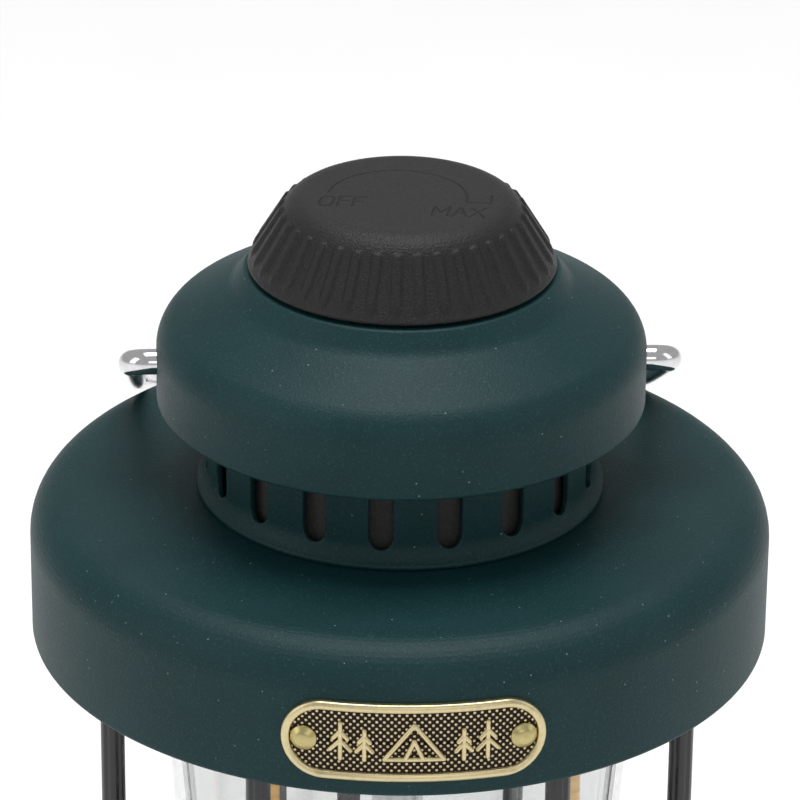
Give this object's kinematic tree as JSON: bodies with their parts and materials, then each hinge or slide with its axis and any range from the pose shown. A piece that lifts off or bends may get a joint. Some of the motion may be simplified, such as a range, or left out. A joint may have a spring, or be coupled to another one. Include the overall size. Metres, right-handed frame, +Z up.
{
  "type": "camping lantern",
  "caption": "Battery camping lantern with a dimmer dial, pressed cap, slotted neck, wide brim, clear tapered shade inside guard posts, and a swinging bail.",
  "frame": {"origin": "on the lantern's axis, in the plane it stands on", "axes": "+Z up along the lantern's axis, -Y towards the nameplate, +X along the bail's pivot"},
  "size_m": [0.13, 0.1493, 0.2501],
  "materials": {
    "rubber": "matt",
    "black_plastic": "fine moulded grain",
    "green_steel": "fine-grained powder coat",
    "contact_brass": "bright",
    "bright_steel": "plated",
    "clear_shade": "clear moulded plastic",
    "lamp_metal": "satin",
    "wire_skin": "smooth",
    "antique_brass": "antiqued, raised edge polished",
    "liner_dark": "matt",
    "board_green": "solder mask",
    "dial_plastic": "moulded grain",
    "bail_chrome": "polished",
    "black_rod": "semi-gloss black",
    "cell_wrap": "shrink sleeve",
    "carrier_dark": "matt",
    "amber_resin": "cast resin"
  },
  "bodies": {
    "lantern": {"foot_ring": "rubber", "base_floor": "black_plastic", "base_housing": "green_steel", "base_deck": "black_plastic", "battery_holder": "black_plastic", "contact_carrier": "black_plastic", "carrier_bridge": "contact_brass", "contact_springs": "bright_steel", "upper_contacts": "contact_brass", "floor_screws": "bright_steel", "deck_screws": "bright_steel", "post_screws": "bright_steel", "upper_frame": "black_plastic", "head_screws": "bright_steel", "shade": "clear_shade", "shade_gasket_lower": "rubber", "shade_gasket_upper": "rubber", "led_base_plate": "lamp_metal", "led_top_plate": "lamp_metal", "led_plate_screws": "bright_steel", "wire_tube": "lamp_metal", "wire_pair": "wire_skin", "brim": "green_steel", "nameplate": "antique_brass", "nameplate_rivets": "antique_brass", "vent_neck": "green_steel", "vent_liner": "liner_dark", "neck_screws": "bright_steel", "cap_standoffs": "lamp_metal", "driver_board": "board_green", "cap_screws": "bright_steel", "top_cap": "green_steel", "bail_bushings": "black_plastic", "dimmer_body": "lamp_metal", "dimmer_nut": "bright_steel", "guard_post_1": "black_rod", "guard_post_2": "black_rod", "guard_post_3": "black_rod", "guard_post_4": "black_rod", "guard_post_5": "black_rod", "guard_post_6": "black_rod", "battery_cell_1": "cell_wrap", "battery_cell_2": "cell_wrap", "battery_cell_3": "cell_wrap", "led_carrier_1": "carrier_dark", "led_carrier_2": "carrier_dark", "led_carrier_3": "carrier_dark", "led_strip_1": "amber_resin", "led_strip_2": "amber_resin", "led_strip_3": "amber_resin"},
    "dial": {"dimmer_knob": "dial_plastic", "dimmer_shaft": "bright_steel"},
    "bail": {"bail_handle": "bail_chrome", "bail_clips": "bright_steel"},
    "battery_cover": {"battery_door": "black_plastic", "door_seal": "rubber"}
  },
  "joints": [
    {"name": "dial_turn", "type": "hinge", "parent": "lantern", "child": "dial", "pos_m": [0, 0, 0.243], "axis": [0, 0, 1], "range_deg": [-270, 0]},
    {"name": "bail_swing", "type": "hinge", "parent": "lantern", "child": "bail", "pos_m": [0, 0, 0.2189], "axis": [1, 0, 0], "range_deg": [0, 237]},
    {"name": "battery_cover_turn", "type": "hinge", "parent": "lantern", "child": "battery_cover", "pos_m": [0, 0, 0.0028], "axis": [0, 0, 1], "range_deg": [-40, 0]}
  ]
}
